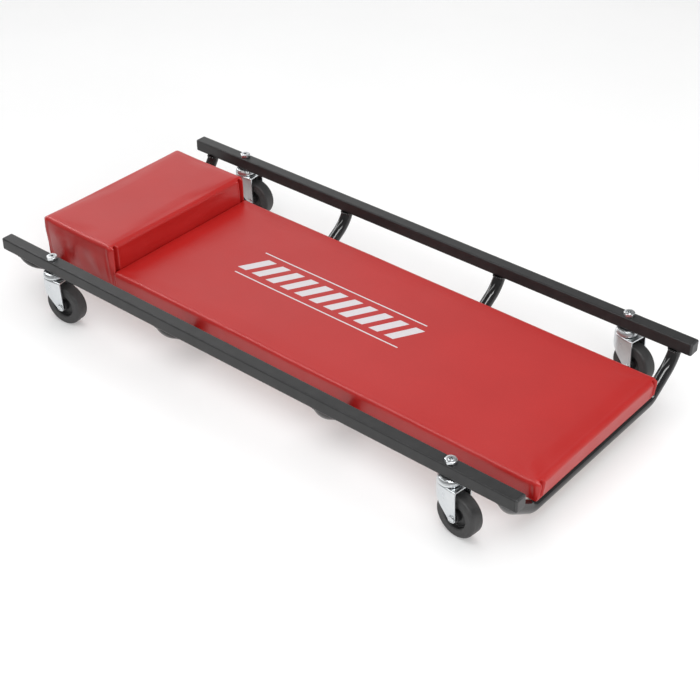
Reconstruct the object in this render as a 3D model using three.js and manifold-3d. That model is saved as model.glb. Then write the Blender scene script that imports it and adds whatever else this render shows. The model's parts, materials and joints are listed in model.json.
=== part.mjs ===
// Low-profile mechanics creeper: a padded board on bent cross tubes between two side rails,
// rolling on four swivel casters. Millimetres, +Z up, +X towards the feet, floor at z = 0.
import * as THREE from 'three';
import { mergeVertices } from 'three/addons/utils/BufferGeometryUtils.js';
import Module from 'manifold-3d';

const wasm = await Module();
wasm.setup();

// Driving dimensions.
const overallLength = 914.4;
const overallWidth = 423.4;
const railTop = 100;
const railSize = 19;
const railWall = 1.6;
const gap = 0.3;

const tubeDiameter = 18;
const tubeWall = 1.5;
const tubeCentreZ = 29.2;
const tubeEndY = 199;
const tubeEndAngle = THREE.MathUtils.degToRad(68);
const tubeLegAngle = THREE.MathUtils.degToRad(33);
const upperBendRadius = 58;
const lowerBendRadius = 30;
const tubeCount = 4;
const firstTubeX = -424;
const lastTubeX = 431;

const padHeadX = -448;
const padFootX = 442;
const padJointX = -299.5;
const padWidth = 283;
const padTop = 70.3;
const headrestTop = 109;
const padClearance = 1.8;
const padCorner = 6;
const padEdge = 5;
const vinyl = 1;
const boardThickness = 9;
const riserThickness = 12;
const boardInset = 6;
const hemWidth = 30;

const screwY = 95;
const screwShank = 2;
const screwBore = 2.6;

const casterX = 355.5;
const stemRadius = 4;
const stemBore = 4.7;
const trail = 18;
const wheelRadius = 30.5;
const tyreWidth = 20.5;
const rimRadius = 17;
const sheet = 2.2;
const forkHalfWidth = 15.3;
const forkNose = 17.5;
const crownTop = 72;
const axleEndRadius = 6;
const sleeveRadius = 4;
const rivetRadius = 2.6;

// Sizes worked out from them.
const railBottom = railTop - railSize;
const railY = (overallWidth - railSize) / 2;
const tubeRadius = tubeDiameter / 2;
const padBottom = tubeCentreZ + tubeRadius + padClearance;
const boardBottom = padBottom + vinyl + gap;
const boardTop = boardBottom + boardThickness;
const boardHalfWidth = padWidth / 2 - boardInset;
const riserTop = boardTop + gap + riserThickness;
const forkInside = forkHalfWidth - sheet;
const crownBottom = crownTop - sheet;

const tubeXs = [];
for (let i = 0; i < tubeCount; i++) {
  tubeXs.push(THREE.MathUtils.lerp(firstTubeX, lastTubeX, i / (tubeCount - 1)));
}

// Materials.
function finish(color, roughness, metalness) {
  return new THREE.MeshStandardMaterial({ color, roughness, metalness });
}
const blackPaint = () => finish('#1d1d1f', 0.35, 0.2);
const blackPlastic = () => finish('#1a1a1b', 0.45, 0);
const redVinyl = () => finish('#b81f22', 0.42, 0);
const plywood = () => finish('#b98d57', 0.8, 0);
const foam = () => finish('#d9cfae', 0.95, 0);
const zinc = () => finish('#c9cdd0', 0.3, 1);
const steel = () => finish('#8f9296', 0.35, 1);
const darkPlastic = () => finish('#1c1c1d', 0.5, 0);
const rubber = () => finish('#3a3a3c', 0.7, 0);

// Booleans.
function solidOf(geometry) {
  const bare = geometry.index ? geometry.toNonIndexed() : geometry.clone();
  bare.deleteAttribute('normal');
  bare.deleteAttribute('uv');
  const merged = mergeVertices(bare);
  const vertProperties = new Float32Array(merged.attributes.position.array);
  const triVerts = new Uint32Array(merged.index.array);
  return new wasm.Manifold(new wasm.Mesh({ numProp: 3, vertProperties, triVerts }));
}

function geometryOf(solid) {
  const mesh = solid.getMesh();
  const geometry = new THREE.BufferGeometry();
  geometry.setAttribute('position', new THREE.BufferAttribute(mesh.vertProperties, 3));
  geometry.setIndex(new THREE.BufferAttribute(mesh.triVerts, 1));
  return geometry;
}

function cut(geometry, ...tools) {
  return geometryOf(tools.reduce((rest, tool) => rest.subtract(solidOf(tool)), solidOf(geometry)));
}

function join(geometry, ...others) {
  return geometryOf(others.reduce((sum, other) => sum.add(solidOf(other)), solidOf(geometry)));
}

function common(geometry, other) {
  return geometryOf(solidOf(geometry).intersect(solidOf(other)));
}

// Basic solids.
function block(xFrom, xTo, yFrom, yTo, zFrom, zTo) {
  const geometry = new THREE.BoxGeometry(xTo - xFrom, yTo - yFrom, zTo - zFrom);
  return geometry.translate((xFrom + xTo) / 2, (yFrom + yTo) / 2, (zFrom + zTo) / 2);
}

function uprightRod(radius, x, y, zFrom, zTo, sides) {
  const geometry = new THREE.CylinderGeometry(radius, radius, zTo - zFrom, sides);
  return geometry.rotateX(Math.PI / 2).translate(x, y, (zFrom + zTo) / 2);
}

// A profile of [radius, height] pairs turned about the z axis.
function turned(profile, sides) {
  const points = profile.map(([radius, height]) => new THREE.Vector2(radius, height));
  return new THREE.LatheGeometry(points, sides).rotateX(Math.PI / 2);
}

// The same, about the y axis, for the wheel and what is on its axle.
function turnedOnAxle(profile, sides) {
  const points = profile.map(([radius, y]) => new THREE.Vector2(radius, y));
  return new THREE.LatheGeometry(points, sides);
}

function closed(profile) {
  return [...profile, profile[0]];
}

function roundedRectangle(width, height, radius, shape = new THREE.Shape()) {
  const x = width / 2 - radius;
  const y = height / 2 - radius;
  const quarter = Math.PI / 2;
  shape.absarc(x, y, radius, 0, quarter);
  shape.absarc(-x, y, radius, quarter, 2 * quarter);
  shape.absarc(-x, -y, radius, 2 * quarter, 3 * quarter);
  shape.absarc(x, -y, radius, 3 * quarter, 4 * quarter);
  shape.closePath();
  return shape;
}

// A section drawn in (y, z), run along x from the given place.
function runAlongX(shape, xFrom, length, curveSegments) {
  const geometry = new THREE.ExtrudeGeometry(shape, { depth: length, bevelEnabled: false, curveSegments });
  const turn = new THREE.Matrix4().makeBasis(
    new THREE.Vector3(0, 1, 0), new THREE.Vector3(0, 0, 1), new THREE.Vector3(1, 0, 0));
  return geometry.applyMatrix4(turn).translate(xFrom, 0, 0);
}

// A plate drawn in (x, y), standing from zFrom to zTo, with rounded top and bottom edges.
function roundedPlate(shapeOf, zFrom, zTo, edge, bevelSegments, curveSegments) {
  const geometry = new THREE.ExtrudeGeometry(shapeOf(edge), {
    depth: zTo - zFrom - 2 * edge,
    bevelEnabled: edge > 0,
    bevelThickness: edge,
    bevelSize: edge,
    bevelSegments,
    curveSegments,
  });
  return geometry.translate(0, 0, zFrom + edge);
}

// Side rail: square tube, drilled through for the two caster stems. Local y = 0 is its centre line.
const capFlange = 3;
const capPlug = 12;
const railLength = overallLength - 2 * (capFlange + gap);

function railTube() {
  const outerCorner = 2.2;
  const innerCorner = 0.8;
  const inside = railSize - 2 * railWall;
  const section = roundedRectangle(railSize, railSize, outerCorner);
  section.holes.push(roundedRectangle(inside, inside, innerCorner, new THREE.Path()));
  const tube = runAlongX(section, -railLength / 2, railLength, 1);
  const bores = [-casterX, casterX].map(
    (x) => uprightRod(stemBore, x, 0, -railSize, railSize, 16));
  return cut(tube, ...bores);
}

// Rail end cap: a flange with soft edges and a hollow plug, pointing along +x from the rail's end.
function railCap() {
  const flangeEdge = 1.2;
  const plugFit = railSize - 2 * railWall - 2 * gap;
  const plugWall = 1.6;
  const flange = roundedPlate(
    (edge) => roundedRectangle(railSize - 2 * edge, railSize - 2 * edge, 2.2), 0, capFlange, flangeEdge, 1, 1);
  const plug = new THREE.BoxGeometry(plugFit, plugFit, capPlug + 1).translate(0, 0, (1 - capPlug) / 2);
  const hollow = plugFit - 2 * plugWall;
  const bore = new THREE.BoxGeometry(hollow, hollow, capPlug + 1).translate(0, 0, -(capPlug + 1) / 2);
  return cut(join(flange, plug), bore).rotateY(Math.PI / 2);
}

// Cross tube: level under the pad, bent up at both ends to slanting legs, and bent again to meet
// the rails' undersides steeply. Its line is a list of points, so that straights take no extra steps.
class BentLine extends THREE.Curve {
  constructor(points) {
    super();
    this.points = points;
  }

  getPoint(t) {
    return this.points[Math.round(t * (this.points.length - 1))].clone();
  }

  getPointAt(u) {
    return this.getPoint(u);
  }

  getTangentAt(u) {
    const last = this.points.length - 1;
    const i = Math.round(u * last);
    const here = this.points[i];
    const into = here.clone().sub(this.points[Math.max(i - 1, 0)]).normalize();
    const out = this.points[Math.min(i + 1, last)].clone().sub(here).normalize();
    return into.add(out).normalize();
  }
}

function crossTubeLine() {
  const bendSteps = 4;
  const half = [];
  function bend(radius, centreY, centreZ, from, to) {
    for (let i = 0; i <= bendSteps; i++) {
      const angle = THREE.MathUtils.lerp(from, to, i / bendSteps);
      half.push(new THREE.Vector3(
        0, centreY + radius * Math.sin(angle), centreZ - radius * Math.cos(angle)));
    }
  }

  const overrun = tubeDiameter;
  half.push(new THREE.Vector3(
    0, tubeEndY + overrun * Math.cos(tubeEndAngle), railBottom + overrun * Math.sin(tubeEndAngle)));
  const upperY = tubeEndY - upperBendRadius * Math.sin(tubeEndAngle);
  const upperZ = railBottom + upperBendRadius * Math.cos(tubeEndAngle);
  bend(upperBendRadius, upperY, upperZ, tubeEndAngle, tubeLegAngle);
  const legTop = half[half.length - 1];
  const legBottomZ = tubeCentreZ + lowerBendRadius * (1 - Math.cos(tubeLegAngle));
  const legBottomY = legTop.y - (legTop.z - legBottomZ) / Math.tan(tubeLegAngle);
  const lowerY = legBottomY - lowerBendRadius * Math.sin(tubeLegAngle);
  bend(lowerBendRadius, lowerY, tubeCentreZ + lowerBendRadius, tubeLegAngle, 0);
  const mirrored = half.map((point) => new THREE.Vector3(0, -point.y, point.z)).reverse();
  return new BentLine([...half, ...mirrored]);
}

function crossTube() {
  const line = crossTubeLine();
  const section = new THREE.Shape().absarc(0, 0, tubeRadius, 0, 2 * Math.PI);
  section.holes.push(new THREE.Path().absarc(0, 0, tubeRadius - tubeWall, 0, 2 * Math.PI));
  const bent = new THREE.ExtrudeGeometry(section, {
    extrudePath: line,
    steps: line.points.length - 1,
    curveSegments: 6,
  });
  const aboveRail = 3 * tubeDiameter;
  const trims = [-1, 1].map((side) => block(
    -tubeDiameter, tubeDiameter,
    side * railY - aboveRail, side * railY + aboveRail,
    railBottom - gap, railBottom + aboveRail));
  const bores = [-1, 1].map((side) => uprightRod(
    screwBore, 0, side * screwY, tubeCentreZ - tubeDiameter, tubeCentreZ + tubeDiameter, 10));
  return cut(bent, ...trims, ...bores);
}

// Padding: each cover is a thin vinyl shell around its foam, hemmed under the board.
function padOutline(xFrom, xTo, inset) {
  return (edge) => {
    const length = xTo - xFrom - 2 * (inset + edge);
    const width = padWidth - 2 * (inset + edge);
    return roundedRectangle(length, width, Math.max(padCorner - inset - edge, 1));
  };
}

function cushion(xFrom, xTo, zTop, inset) {
  const plate = roundedPlate(
    padOutline(xFrom, xTo, inset), padBottom + inset, zTop - inset, padEdge - inset, 2, 2);
  return plate.translate((xFrom + xTo) / 2, 0, 0);
}

function belowBoardTop() {
  return block(
    padHeadX - padWidth, padFootX + padWidth, -padWidth, padWidth, -padWidth, boardTop + gap);
}

function boardRoom() {
  return block(
    padHeadX + boardInset - gap, padFootX - boardInset + gap,
    -boardHalfWidth - gap, boardHalfWidth + gap,
    boardBottom - gap, boardTop + gap);
}

function screwRooms(radius, zFrom, zTo) {
  return tubeXs.flatMap(
    (x) => [-screwY, screwY].map((y) => uprightRod(radius, x, y, zFrom, zTo, 10)));
}

function cover(xFrom, xTo, zTop, windowFrom, windowTo) {
  const outside = cushion(xFrom, xTo, zTop, 0);
  const inside = cushion(xFrom, xTo, zTop, vinyl);
  const window = block(
    windowFrom, windowTo, -padWidth / 2 + hemWidth, padWidth / 2 - hemWidth,
    padBottom - vinyl, boardBottom + vinyl);
  return cut(outside, inside, boardRoom(), window, ...screwRooms(screwBore, padBottom - vinyl, boardBottom));
}

function mainCover() {
  return cover(padJointX + gap / 2, padFootX, padTop, padJointX - padEdge, padFootX - hemWidth);
}

function headrestCover() {
  return cover(padHeadX, padJointX - gap / 2, headrestTop, padHeadX + hemWidth, padJointX + padEdge);
}

function mainFoam() {
  return cut(cushion(padJointX + gap / 2, padFootX, padTop, vinyl + gap), belowBoardTop());
}

function headrestFoam() {
  const belowRiser = block(
    padHeadX, padJointX, -padWidth, padWidth, -padWidth, riserTop + gap);
  return cut(cushion(padHeadX, padJointX - gap / 2, headrestTop, vinyl + gap), belowRiser);
}

function baseBoard() {
  const boardCorner = 4;
  const length = padFootX - padHeadX - 2 * boardInset;
  const sheetOfWood = roundedPlate(
    () => roundedRectangle(length, 2 * boardHalfWidth, boardCorner), boardBottom, boardTop, 0, 0, 1);
  sheetOfWood.translate((padHeadX + padFootX) / 2, 0, 0);
  return cut(sheetOfWood, ...screwRooms(screwBore, boardBottom - 1, boardTop - 2));
}

function headrestRiser() {
  return block(
    padHeadX + boardInset, padJointX - boardInset, -boardHalfWidth, boardHalfWidth, boardTop + gap, riserTop);
}

// Pan-head screw driven up through a cross tube into the board.
function boardScrew() {
  const headTop = tubeCentreZ - tubeRadius - gap;
  const tip = boardTop - 3;
  return turned([
    [0, headTop - 2.4],
    [2.6, headTop - 2.2],
    [4.2, headTop - 0.8],
    [4.2, headTop],
    [screwShank, headTop],
    [screwShank, tip - 3],
    [0, tip],
  ], 8);
}

// Caster pieces, each drawn about the stem's axis with z measured from the floor.
const nutHeight = 4.9;
const nutTop = railTop + gap + nutHeight;

function stemNut() {
  const chamfer = 0.8;
  const acrossCorners = 16.8;
  const hexagon = new THREE.Shape();
  for (let i = 0; i < 6; i++) {
    const angle = (i * Math.PI) / 3;
    const radius = acrossCorners / 2 - chamfer;
    const x = radius * Math.cos(angle);
    const y = radius * Math.sin(angle);
    if (i === 0) {
      hexagon.moveTo(x, y);
    } else {
      hexagon.lineTo(x, y);
    }
  }
  hexagon.closePath();
  hexagon.holes.push(new THREE.Path().absarc(0, 0, stemRadius + gap + chamfer, 0, 2 * Math.PI));
  return roundedPlate(() => hexagon, railTop + gap, nutTop, chamfer, 1, 6);
}

function kingpin() {
  const headTop = crownBottom - gap;
  const endHole = 2.4;
  return turned([
    [0, headTop - 3],
    [5, headTop - 3],
    [6.5, headTop - 1.6],
    [6.5, headTop],
    [stemRadius, headTop],
    [stemRadius, nutTop - 0.8],
    [stemRadius - 0.7, nutTop],
    [endHole, nutTop],
    [endHole, nutTop - 6],
    [0, nutTop - 7],
  ], 12);
}

// The upper race: a domed cap fixed under the rail, its rim reaching down round the balls.
const ballCircle = 11;
const ballRadius = 2.2;
const ballZ = crownTop + gap + ballRadius;

function topRace() {
  const roof = ballZ + ballRadius + gap;
  const rimBottom = crownTop + 1;
  return turned(closed([
    [stemRadius + gap, roof],
    [13.4, roof],
    [14.3, roof - 1],
    [14.8, rimBottom],
    [16.5, rimBottom],
    [16.2, rimBottom + 3],
    [15, rimBottom + 5.6],
    [12.6, railBottom - gap],
    [stemRadius + gap, railBottom - gap],
  ]), 20);
}

// The caged balls, as one ring that swells at each ball.
function ballRing() {
  const balls = 12;
  const stepsPerBall = 2;
  const thin = 0.6;
  const steps = balls * stepsPerBall;
  const ring = new THREE.TorusGeometry(ballCircle, ballRadius, 5, steps);
  const position = ring.attributes.position;
  const point = new THREE.Vector3();
  for (let i = 0; i < position.count; i++) {
    point.fromBufferAttribute(position, i);
    const step = Math.round((Math.atan2(point.y, point.x) / (2 * Math.PI)) * steps);
    const scale = step % stepsPerBall === 0 ? 1 : thin;
    const middle = new THREE.Vector3(point.x, point.y, 0).setLength(ballCircle);
    point.sub(middle).multiplyScalar(scale).add(middle);
    position.setXYZ(i, point.x, point.y, point.z);
  }
  return ring.translate(0, 0, ballZ);
}

// Fork: pressed from one sheet, with a round nose ahead of the stem and a leg each side of the wheel.
function forkPlan(inset, tail) {
  return (edge) => {
    const plan = new THREE.Shape();
    const nose = forkNose - inset - edge;
    const side = forkHalfWidth - inset - edge;
    plan.absellipse(0, 0, nose, side, Math.PI / 2, (3 * Math.PI) / 2);
    plan.lineTo(tail, -side);
    plan.lineTo(tail, side);
    plan.closePath();
    return plan;
  };
}

function forkSide() {
  const tailX = trail + 3.2;
  const above = crownTop + 2;
  const noseX = -forkNose - 1.5;
  const noseBottom = 60.5;
  const toNose = Math.atan2(noseBottom - wheelRadius, noseX - trail);
  const distance = Math.hypot(noseBottom - wheelRadius, noseX - trail);
  const firstAngle = toNose + Math.acos(axleEndRadius / distance);
  const toTail = Math.atan2(above - wheelRadius, tailX - trail);
  const lastAngle = toTail - Math.acos(axleEndRadius / Math.hypot(above - wheelRadius, tailX - trail));
  const outline = new THREE.Shape();
  outline.moveTo(tailX, above);
  outline.lineTo(noseX, above);
  outline.lineTo(noseX, noseBottom);
  outline.absarc(trail, wheelRadius, axleEndRadius, firstAngle, lastAngle + 2 * Math.PI);
  outline.closePath();
  const depth = 4 * forkHalfWidth;
  const geometry = new THREE.ExtrudeGeometry(outline, { depth, bevelEnabled: false, curveSegments: 5 });
  return geometry.rotateX(Math.PI / 2).translate(0, depth / 2, 0);
}

function fork() {
  const bend = 2.4;
  const tail = trail + 2 * axleEndRadius;
  const outside = roundedPlate(forkPlan(0, tail), 0, crownTop, bend, 1, 5);
  const inside = roundedPlate(forkPlan(sheet, tail + trail), -sheet, crownBottom, 0, 0, 5);
  const stemHole = uprightRod(stemBore, 0, 0, crownBottom - sheet, crownTop + sheet, 16);
  const axleHole = new THREE.CylinderGeometry(rivetRadius + 0.5, rivetRadius + 0.5, 4 * forkHalfWidth, 12);
  axleHole.translate(trail, 0, wheelRadius);
  return cut(common(cut(outside, inside), forkSide()), stemHole, axleHole);
}

// Pieces on the axle, drawn about it.
function axleRivet() {
  const head = forkHalfWidth + gap;
  const half = [
    [rivetRadius, head],
    [4.8, head],
    [4.4, head + 1.2],
    [2.6, head + 1.9],
    [0, head + 2.1],
  ];
  const other = half.map(([radius, y]) => [radius, -y]).reverse();
  return turnedOnAxle([...other, ...half], 10);
}

function axleSleeve() {
  const half = forkInside - gap;
  const bore = rivetRadius + gap;
  return turnedOnAxle(closed([[bore, -half], [sleeveRadius, -half], [sleeveRadius, half], [bore, half]]), 12);
}

function wheelHub() {
  const bore = sleeveRadius + 0.6;
  const half = [
    [bore, 11.2],
    [7.2, 11.2],
    [7.8, 4.2],
    [13.8, 3.4],
    [14.6, 8.6],
    [rimRadius - gap, 8.6],
  ];
  const other = half.map(([radius, y]) => [radius, -y]);
  return turnedOnAxle(closed([...other, ...half.reverse()]), 16);
}

function tyre() {
  const half = tyreWidth / 2;
  const shoulder = 4.5;
  const outer = [];
  const shoulderSteps = 2;
  for (let i = 0; i <= shoulderSteps; i++) {
    const angle = (i / shoulderSteps) * (Math.PI / 2);
    outer.push([
      wheelRadius - shoulder + shoulder * Math.sin(angle),
      -(half - shoulder + shoulder * Math.cos(angle)),
    ]);
  }
  const mirrored = outer.map(([radius, y]) => [radius, -y]).reverse();
  return turnedOnAxle(closed([[rimRadius, -half + 1], ...outer, ...mirrored, [rimRadius, half - 1]]), 28);
}

// Assembly.
const creeper = new THREE.Group();

function place(parent, name, geometry, material, x = 0, y = 0, z = 0) {
  const mesh = new THREE.Mesh(geometry, material);
  mesh.name = name;
  mesh.position.set(x, y, z);
  parent.add(mesh);
  return mesh;
}

function addRails() {
  const sides = [['near', -railY], ['far', railY]];
  for (const [side, y] of sides) {
    const middleZ = (railTop + railBottom) / 2;
    place(creeper, `rail_${side}`, railTube(), blackPaint(), 0, y, middleZ);
    const end = railLength / 2 + gap;
    place(creeper, `rail_cap_foot_${side}`, railCap(), blackPlastic(), end, y, middleZ);
    const headCap = place(creeper, `rail_cap_head_${side}`, railCap(), blackPlastic(), -end, y, middleZ);
    headCap.rotation.z = Math.PI;
  }
}

function addCrossTubes() {
  tubeXs.forEach((x, i) => {
    place(creeper, `cross_tube_${i + 1}`, crossTube(), blackPaint(), x);
    place(creeper, `board_screw_${i + 1}_near`, boardScrew(), zinc(), x, -screwY);
    place(creeper, `board_screw_${i + 1}_far`, boardScrew(), zinc(), x, screwY);
  });
}

function addPadding() {
  place(creeper, 'base_board', baseBoard(), plywood());
  place(creeper, 'headrest_board', headrestRiser(), plywood());
  place(creeper, 'main_foam', mainFoam(), foam());
  place(creeper, 'headrest_foam', headrestFoam(), foam());
  place(creeper, 'main_cover', mainCover(), redVinyl());
  place(creeper, 'headrest_cover', headrestCover(), redVinyl());
}

function addCaster(name, x, y, yawDegrees) {
  const stem = new THREE.Group();
  stem.position.set(x, y, 0);
  creeper.add(stem);
  place(stem, `${name}_stem_nut`, stemNut(), zinc());
  place(stem, `${name}_kingpin`, kingpin(), zinc());
  place(stem, `${name}_top_race`, topRace(), zinc());

  const swivel = new THREE.Group();
  swivel.rotation.z = THREE.MathUtils.degToRad(yawDegrees);
  stem.add(swivel);
  place(swivel, `${name}_ball_ring`, ballRing(), steel());
  place(swivel, `${name}_fork`, fork(), zinc());
  place(swivel, `${name}_axle_rivet`, axleRivet(), zinc(), trail, 0, wheelRadius);
  place(swivel, `${name}_axle_sleeve`, axleSleeve(), steel(), trail, 0, wheelRadius);
  place(swivel, `${name}_hub`, wheelHub(), darkPlastic(), trail, 0, wheelRadius);
  place(swivel, `${name}_tyre`, tyre(), rubber(), trail, 0, wheelRadius);
}

addRails();
addCrossTubes();
addPadding();
addCaster('caster_head_near', -casterX, -railY, 8);
addCaster('caster_foot_near', casterX, -railY, -6);
addCaster('caster_head_far', -casterX, railY, 5);
addCaster('caster_foot_far', casterX, railY, -10);

export default creeper;
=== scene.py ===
"""Looks of a mechanics creeper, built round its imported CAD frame. Metres, +Z up, +X towards the feet."""
import json
import math

import bmesh
import bpy
import numpy as np
from mathutils import Matrix, Vector, kdtree, noise


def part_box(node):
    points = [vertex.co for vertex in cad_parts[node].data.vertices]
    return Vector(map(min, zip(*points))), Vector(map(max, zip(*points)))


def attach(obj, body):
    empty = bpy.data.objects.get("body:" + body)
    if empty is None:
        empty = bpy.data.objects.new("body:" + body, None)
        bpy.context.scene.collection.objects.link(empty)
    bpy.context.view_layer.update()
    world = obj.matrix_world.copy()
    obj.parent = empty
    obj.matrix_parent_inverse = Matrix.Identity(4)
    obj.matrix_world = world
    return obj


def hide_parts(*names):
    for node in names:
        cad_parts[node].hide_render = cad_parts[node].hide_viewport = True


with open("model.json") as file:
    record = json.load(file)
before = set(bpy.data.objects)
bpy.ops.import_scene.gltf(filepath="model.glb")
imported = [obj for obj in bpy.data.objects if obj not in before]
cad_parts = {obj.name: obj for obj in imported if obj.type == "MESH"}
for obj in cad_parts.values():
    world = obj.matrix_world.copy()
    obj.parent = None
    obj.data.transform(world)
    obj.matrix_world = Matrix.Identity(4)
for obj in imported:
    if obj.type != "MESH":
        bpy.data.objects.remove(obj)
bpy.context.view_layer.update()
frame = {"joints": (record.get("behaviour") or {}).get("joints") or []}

MM = 0.001
SIDES = ("near", "far")
ENDS = ("head", "foot")
CASTERS = [f"caster_{end}_{side}" for side in SIDES for end in ENDS]


# ---- places taken from the frame

def middle(node):
    low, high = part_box(node)
    return (low + high) / 2


main_low, main_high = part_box("main_cover")
head_low, head_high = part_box("headrest_cover")
board_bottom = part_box("base_board")[0].z
rail_low, rail_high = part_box("rail_near")
tube_low, tube_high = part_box("cross_tube_1")
nut_low, nut_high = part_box("caster_foot_near_stem_nut")
race_low, race_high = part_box("caster_foot_near_top_race")

RAIL_SIZE = rail_high.z - rail_low.z
RAIL_BOTTOM = rail_low.z
RAIL_TOP = rail_high.z
TUBE_RADIUS = (tube_high.x - tube_low.x) / 2
TUBE_LEVEL = tube_low.z + TUBE_RADIUS
TUBE_NUMBERS = range(1, 5)
TUBE_XS = [middle(f"cross_tube_{number}").x for number in TUBE_NUMBERS]
CROWN_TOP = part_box("caster_foot_near_fork")[1].z
WHEEL_RADIUS = middle("caster_foot_near_tyre").z
JOINTS = {joint["name"]: joint for joint in frame["joints"]}


def joint_place(caster, motion):
    return Vector(JOINTS[f"{caster}_{motion}"]["pos_m"])


def trail_of(caster):
    """The level step from the caster's stem to its axle."""
    stem = joint_place(caster, "swivel_turn")
    axle = joint_place(caster, "wheel_roll")
    return Vector((axle.x - stem.x, axle.y - stem.y, 0))


TRAIL = trail_of("caster_foot_near").length
AXLE_PLACE = Matrix.Translation((TRAIL, 0, WHEEL_RADIUS)) @ Matrix.Rotation(math.pi / 2, 4, "X")

# ---- sizes of the drawn detail

RAIL_WALL = 1.6 * MM
RAIL_CORNER = 2.4 * MM
CAP_FLANGE = 3 * MM
CAP_EDGE = 2.6 * MM
PLUG_LENGTH = 12 * MM
TUBE_WALL = 1.5 * MM
TUBE_END_Y = 199 * MM
TUBE_END_ANGLE = math.radians(68)
TUBE_LEG_ANGLE = math.radians(33)
UPPER_BEND_RADIUS = 58 * MM
LOWER_BEND_RADIUS = 30 * MM
WELD_RADIUS = 1.3 * MM
SCREW_HOLE_RADIUS = 2.6 * MM

PAD_EDGE = 6.5 * MM
PAD_CORNER = 7 * MM
HEM_WIDTH = 30 * MM
FOLD_INSET = 10 * MM
ROLL_INSET = 11 * MM
ROLL_DEPTH = 0.6 * MM
PUFF_CAP = 1.2 * MM
BOARD_TRIM = 2 * MM
BOARD_CORNER = 18 * MM

SHEET = 2.2 * MM
FORK_HALF_WIDTH = 15.3 * MM
FORK_NOSE = 17.5 * MM
NOSE_BOTTOM = 60.5 * MM
FORK_BEND = 2.6 * MM
AXLE_END_RADIUS = 6 * MM
STEM_RADIUS = 4 * MM
STEM_BORE = 4.7 * MM
NUT_HALF_WIDTH = 7.3 * MM
RIVET_RADIUS = 2.6 * MM
SLEEVE_RADIUS = 4 * MM
RIM_RADIUS = 17 * MM
TYRE_WIDTH = 20.5 * MM
GAP = 0.3 * MM


# ---- mesh tools

def turns(count):
    """Angles that share out a full turn."""
    return [2 * math.pi * k / count for k in range(count)]


def new_piece(name, vertices, faces):
    mesh = bpy.data.meshes.new(name)
    mesh.from_pydata([tuple(v) for v in vertices], [], faces)
    mesh.validate()
    return piece_of(name, mesh)


def piece_of(name, mesh):
    piece = bpy.data.objects.new(name, mesh)
    bpy.context.scene.collection.objects.link(piece)
    return piece


def mesh_of(piece):
    """The mesh alone, to be placed as often as it is needed."""
    mesh = piece.data
    bpy.data.objects.remove(piece)
    return mesh


def tidy(piece, merge=1e-6):
    """Joins points that lie on each other and turns every face outwards."""
    work = bmesh.new()
    work.from_mesh(piece.data)
    bmesh.ops.remove_doubles(work, verts=work.verts, dist=merge)
    bmesh.ops.dissolve_degenerate(work, dist=merge / 2, edges=work.edges)
    bmesh.ops.recalc_face_normals(work, faces=work.faces)
    work.to_mesh(piece.data)
    work.free()
    return piece


def settle(piece):
    """Makes what the piece's modifiers do into its mesh."""
    shown = piece.evaluated_get(bpy.context.evaluated_depsgraph_get())
    done = bpy.data.meshes.new_from_object(shown)
    piece.modifiers.clear()
    piece.data = done
    return piece


def carve(piece, *cutters, operation="DIFFERENCE"):
    """Cuts the cutters out of the piece, or adds them, or keeps what is shared, and removes them."""
    for cutter in cutters:
        modifier = piece.modifiers.new("carve", "BOOLEAN")
        modifier.operation = operation
        modifier.object = cutter
        modifier.solver = "EXACT"
    settle(piece)
    for cutter in cutters:
        bpy.data.objects.remove(cutter)


def shade(piece, sharp_above):
    """Smooth shading with flats kept flat, and hard edges where the angle in degrees is larger."""
    work = bmesh.new()
    work.from_mesh(piece.data)
    limit = math.radians(sharp_above)
    for face in work.faces:
        face.smooth = True
    for edge in work.edges:
        edge.smooth = len(edge.link_faces) == 2 and edge.calc_face_angle(math.pi) < limit
    work.to_mesh(piece.data)
    work.free()
    flats = piece.modifiers.new("flats", "WEIGHTED_NORMAL")
    flats.keep_sharp = True
    return settle(piece)


def soften(piece, width, above):
    """Rounds the edges of a hard piece where the angle in degrees is larger."""
    bevel = piece.modifiers.new("bevel", "BEVEL")
    bevel.width = width
    bevel.segments = 2
    bevel.limit_method = "ANGLE"
    bevel.angle_limit = math.radians(above)
    bevel.miter_outer = "MITER_ARC"
    settle(piece)
    return shade(piece, above)


def joined(name, pieces):
    """One piece made of several."""
    work = bmesh.new()
    for piece in pieces:
        piece.data.transform(piece.matrix_world)
        work.from_mesh(piece.data)
        bpy.data.objects.remove(piece)
    mesh = bpy.data.meshes.new(name)
    work.to_mesh(mesh)
    work.free()
    return piece_of(name, mesh)


def eased(points, radius, steps=3):
    """A closed outline with its corners rounded off, by less where the sides are short."""
    straight = math.radians(172)
    outline = []
    for i, point in enumerate(points):
        corner = Vector(point)
        before = Vector(points[i - 1]) - corner
        after = Vector(points[(i + 1) % len(points)]) - corner
        turn = before.angle(after)
        if turn > straight:
            outline.append(corner)
            continue
        reach = min(radius / math.tan(turn / 2), 0.45 * before.length, 0.45 * after.length)
        start = corner + before.normalized() * reach
        end = corner + after.normalized() * reach
        for k in range(steps + 1):
            t = k / steps
            outline.append(start * (1 - t) ** 2 + corner * 2 * t * (1 - t) + end * t ** 2)
    return outline


def lathe(name, profile, sides):
    """A closed outline of (radius, height) points turned about the z axis."""
    count = len(profile)
    vertices = []
    for angle in turns(sides):
        for radius, height in profile:
            vertices.append((radius * math.cos(angle), radius * math.sin(angle), height))
    faces = []
    for k in range(sides):
        here = k * count
        there = (k + 1) % sides * count
        for i in range(count):
            j = (i + 1) % count
            faces.append((here + i, there + i, there + j, here + j))
    return tidy(new_piece(name, vertices, faces))


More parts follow.
